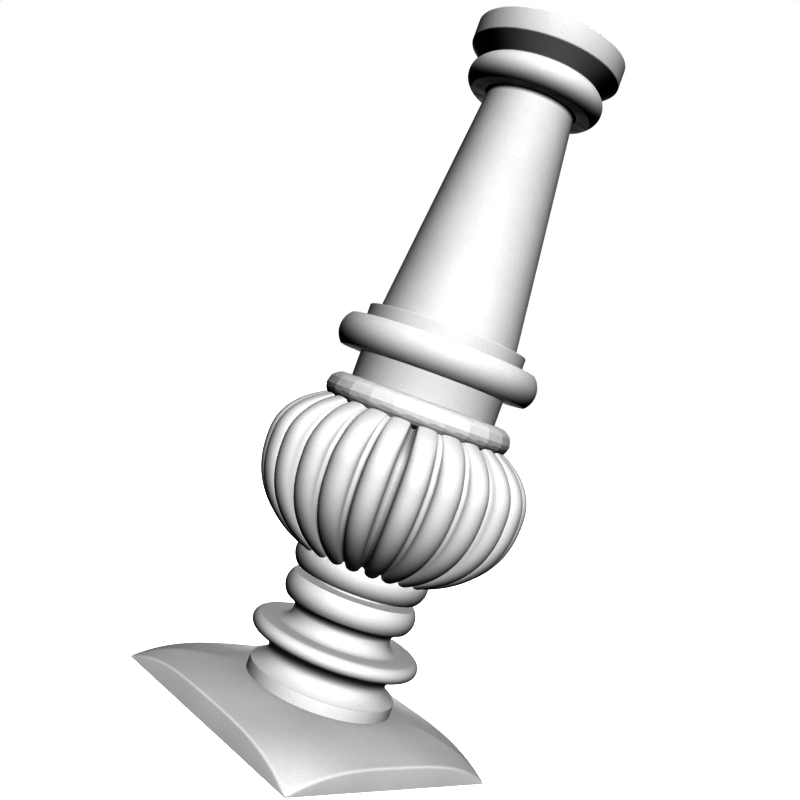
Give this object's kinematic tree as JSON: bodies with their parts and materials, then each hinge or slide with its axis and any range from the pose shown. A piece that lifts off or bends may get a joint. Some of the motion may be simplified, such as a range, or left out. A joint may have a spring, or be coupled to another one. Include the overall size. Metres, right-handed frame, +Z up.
{
  "type": "stone baluster",
  "caption": "Turned stone baluster with a domed square plinth, a gadrooned bulb, a hammered ring, a tapered shaft and a round abacus.",
  "frame": {"origin": "centre of the plinth's flat underside", "axes": "+Z up the baluster's axis, X and Y square to the plinth's sides"},
  "size_m": [0.2416, 0.2416, 0.65],
  "materials": {
    "plinth_stone": "honed",
    "baluster_stone": "honed"
  },
  "bodies": {
    "root": {"plinth": "plinth_stone", "baluster": "baluster_stone"}
  },
  "joints": []
}
